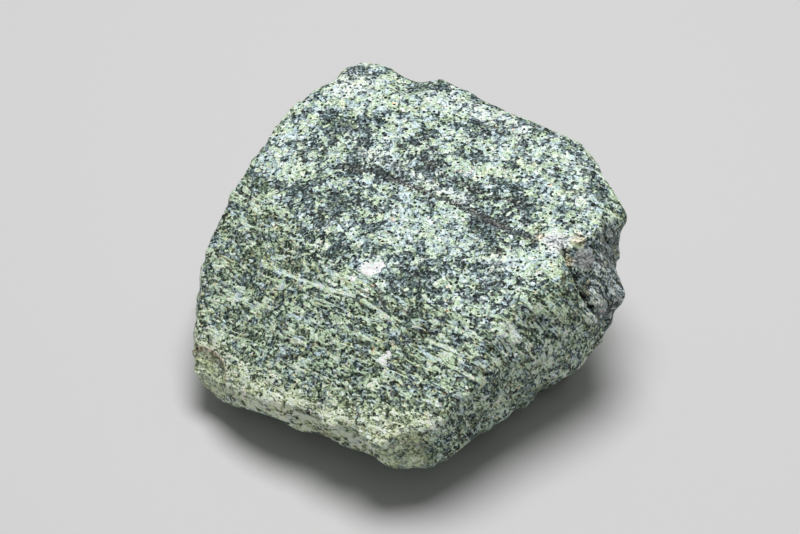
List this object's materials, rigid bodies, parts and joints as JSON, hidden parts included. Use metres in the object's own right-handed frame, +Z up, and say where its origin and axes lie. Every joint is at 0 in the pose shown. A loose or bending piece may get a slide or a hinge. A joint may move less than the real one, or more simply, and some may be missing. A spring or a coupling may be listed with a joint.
{
  "type": "serpentine rock",
  "caption": "Hand-size lump of raw green serpentine with a nearly level top, a sloping front, a steep rough right side and a flat spot underneath to rest on.",
  "frame": {"origin": "on the floor, below the middle of the rock's outline", "axes": "+X to the right and +Y to the back as the rock is pictured, +Z up"},
  "size_m": [0.0782, 0.0824, 0.0361],
  "materials": {
    "serpentine": "rough broken stone, speckled pale green and dark slate, faintly waxy"
  },
  "bodies": {
    "root": {"serpentine_rock": "serpentine"}
  },
  "joints": []
}
